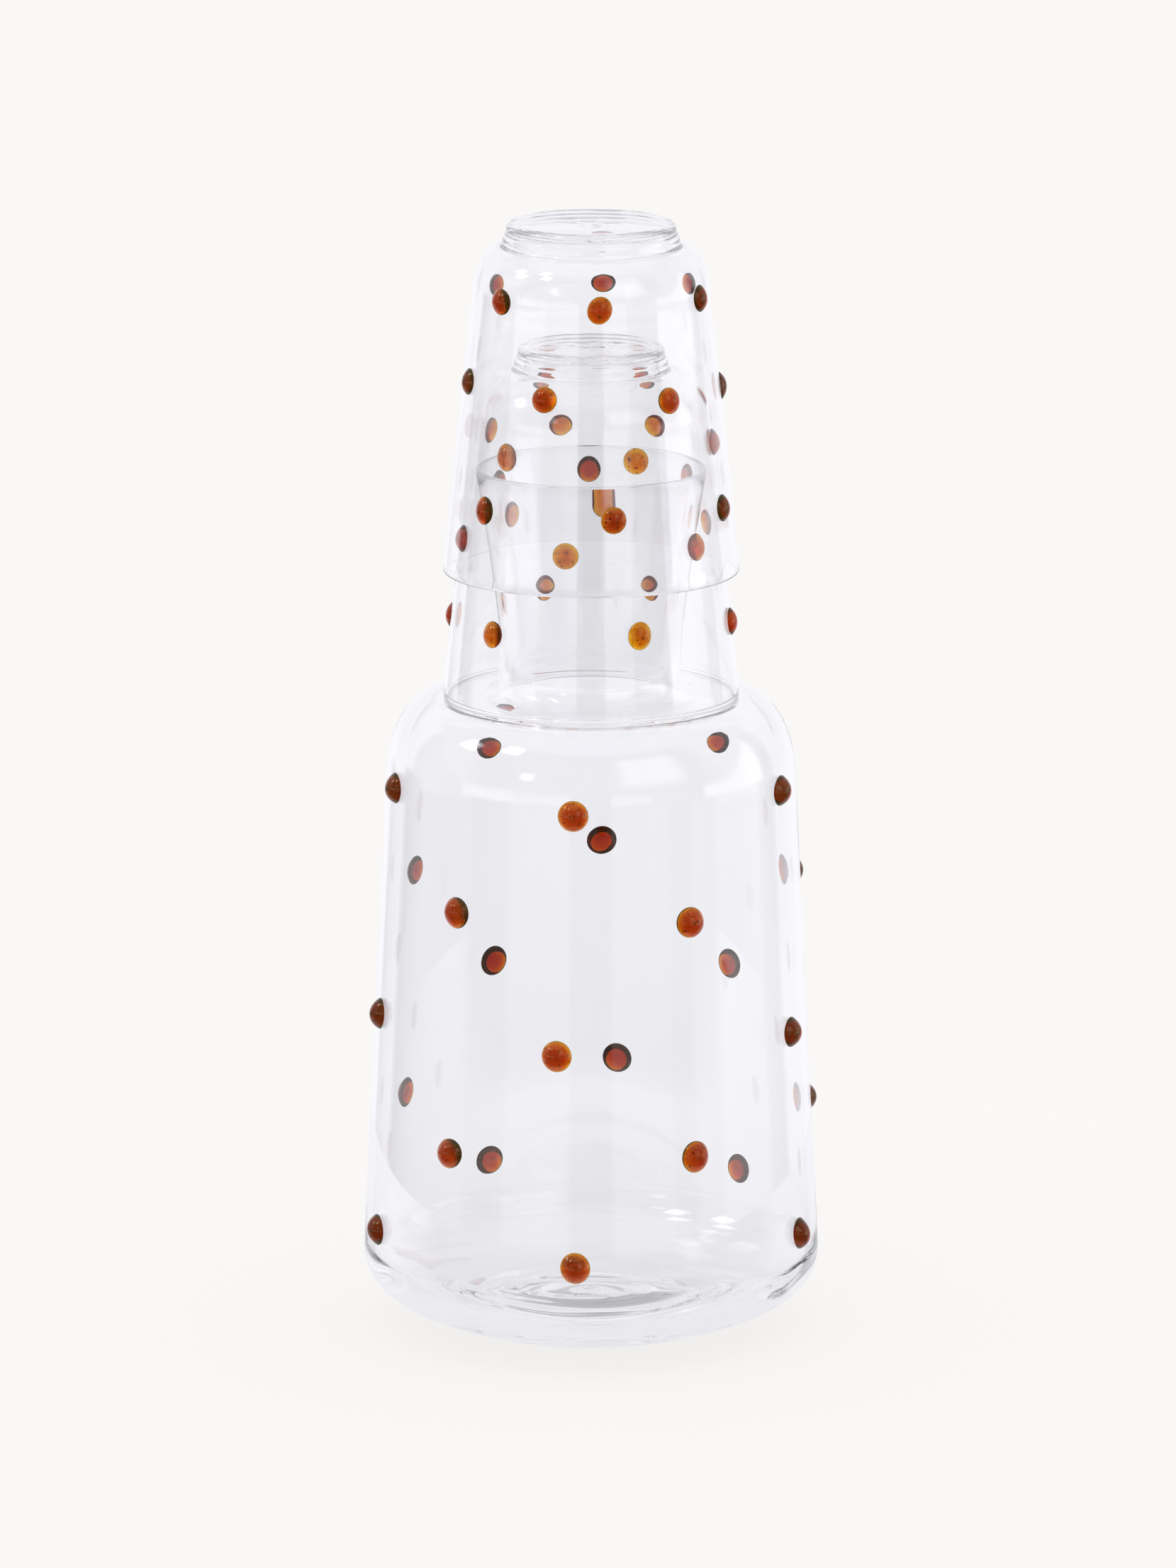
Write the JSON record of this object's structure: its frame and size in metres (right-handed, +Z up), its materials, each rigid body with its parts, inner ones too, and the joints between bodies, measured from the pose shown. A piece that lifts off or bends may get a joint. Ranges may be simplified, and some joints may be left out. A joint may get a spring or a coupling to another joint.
{
  "type": "glass carafe with nesting tumblers",
  "caption": "Clear glass bedside carafe with rounded base, waisted neck and amber glass drops; matching tumblers nest upside down over its neck as lids and lift off.",
  "frame": {"origin": "middle of the ring that the carafe stands on, on the vessels' common axis", "axes": "+Z up along the common axis; -Y towards the picture's viewer; +X to the viewer's right"},
  "size_m": [0.1124, 0.1155, 0.2755],
  "materials": {
    "clear_glass": "gloss",
    "amber_glass": "gloss"
  },
  "bodies": {
    "carafe": {"carafe": "clear_glass", "carafe_drop_1_1": "amber_glass", "carafe_drop_1_2": "amber_glass", "carafe_drop_1_3": "amber_glass", "carafe_drop_1_4": "amber_glass", "carafe_drop_1_5": "amber_glass", "carafe_drop_2_1": "amber_glass", "carafe_drop_2_2": "amber_glass", "carafe_drop_2_3": "amber_glass", "carafe_drop_2_4": "amber_glass", "carafe_drop_2_5": "amber_glass", "carafe_drop_3_1": "amber_glass", "carafe_drop_3_2": "amber_glass", "carafe_drop_3_3": "amber_glass", "carafe_drop_3_4": "amber_glass", "carafe_drop_3_5": "amber_glass", "carafe_drop_4_1": "amber_glass", "carafe_drop_4_2": "amber_glass", "carafe_drop_4_3": "amber_glass", "carafe_drop_4_4": "amber_glass", "carafe_drop_4_5": "amber_glass"},
    "lower_tumbler": {"lower_tumbler": "clear_glass", "lower_tumbler_drop_1_1": "amber_glass", "lower_tumbler_drop_1_2": "amber_glass", "lower_tumbler_drop_1_3": "amber_glass", "lower_tumbler_drop_1_4": "amber_glass", "lower_tumbler_drop_1_5": "amber_glass", "lower_tumbler_drop_1_6": "amber_glass", "lower_tumbler_drop_2_1": "amber_glass", "lower_tumbler_drop_2_2": "amber_glass", "lower_tumbler_drop_2_3": "amber_glass", "lower_tumbler_drop_2_4": "amber_glass", "lower_tumbler_drop_2_5": "amber_glass", "lower_tumbler_drop_2_6": "amber_glass", "lower_tumbler_drop_3_1": "amber_glass", "lower_tumbler_drop_3_2": "amber_glass", "lower_tumbler_drop_3_3": "amber_glass", "lower_tumbler_drop_3_4": "amber_glass", "lower_tumbler_drop_3_5": "amber_glass", "lower_tumbler_drop_3_6": "amber_glass"},
    "upper_tumbler": {"upper_tumbler": "clear_glass", "upper_tumbler_drop_1_1": "amber_glass", "upper_tumbler_drop_1_2": "amber_glass", "upper_tumbler_drop_1_3": "amber_glass", "upper_tumbler_drop_1_4": "amber_glass", "upper_tumbler_drop_1_5": "amber_glass", "upper_tumbler_drop_1_6": "amber_glass", "upper_tumbler_drop_2_1": "amber_glass", "upper_tumbler_drop_2_2": "amber_glass", "upper_tumbler_drop_2_3": "amber_glass", "upper_tumbler_drop_2_4": "amber_glass", "upper_tumbler_drop_2_5": "amber_glass", "upper_tumbler_drop_2_6": "amber_glass", "upper_tumbler_drop_3_1": "amber_glass", "upper_tumbler_drop_3_2": "amber_glass", "upper_tumbler_drop_3_3": "amber_glass", "upper_tumbler_drop_3_4": "amber_glass", "upper_tumbler_drop_3_5": "amber_glass", "upper_tumbler_drop_3_6": "amber_glass"}
  },
  "joints": [
    {"name": "lift_lower_tumbler", "type": "slide", "parent": "carafe", "child": "lower_tumbler", "axis": [0, 0, 1], "range_m": [0, 0.09]},
    {"name": "lift_upper_tumbler", "type": "slide", "parent": "lower_tumbler", "child": "upper_tumbler", "axis": [0, 0, 1], "range_m": [0, 0.09]}
  ]
}
